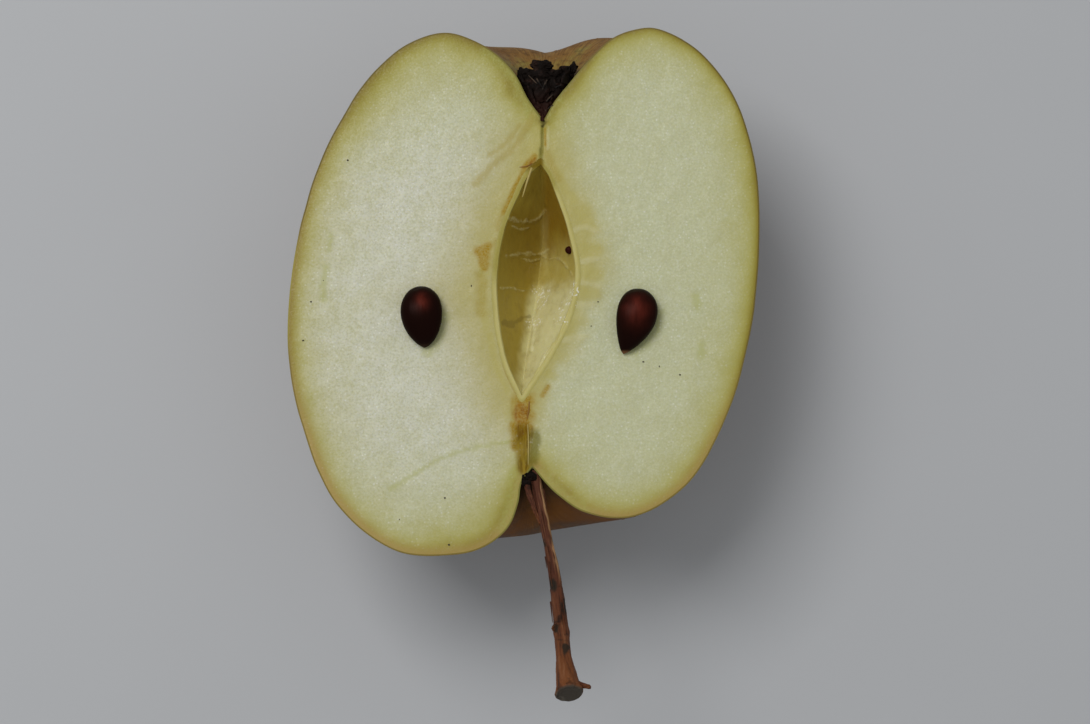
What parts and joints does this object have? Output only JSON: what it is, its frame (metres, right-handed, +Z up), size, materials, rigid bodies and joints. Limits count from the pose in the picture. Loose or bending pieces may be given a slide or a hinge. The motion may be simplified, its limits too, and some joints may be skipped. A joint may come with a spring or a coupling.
{
  "type": "apple half",
  "caption": "Half of a russet apple cut from calyx to stem, lying on its round back with the cut face up: pale flesh, open seed chamber, dried calyx, long stem, loose brown seeds on the face.",
  "frame": {"origin": "middle of the small flat spot under the round back, on which the half rests", "axes": "+Z up, square to the cut face, which lies level; +Y along the fruit towards the calyx, so the stem points to -Y; +X to the right seen from above with the calyx away"},
  "size_m": [0.062, 0.0892, 0.0469],
  "materials": {
    "flesh": "moist apple flesh with fine sparkling grain, and a thin golden russet skin",
    "parchment": "moist yellow parchment of the core",
    "dried_calyx": "dry, matt, shrivelled",
    "stem_bark": "dry, matt, streaked lengthwise",
    "seed_coat": "smooth glossy dark brown"
  },
  "bodies": {
    "root": {"fruit_half": "flesh", "core_lining": "parchment", "calyx": "dried_calyx", "stem": "stem_bark", "seed_left": "seed_coat", "seed_right": "seed_coat", "seed_tip": "seed_coat"}
  },
  "joints": []
}
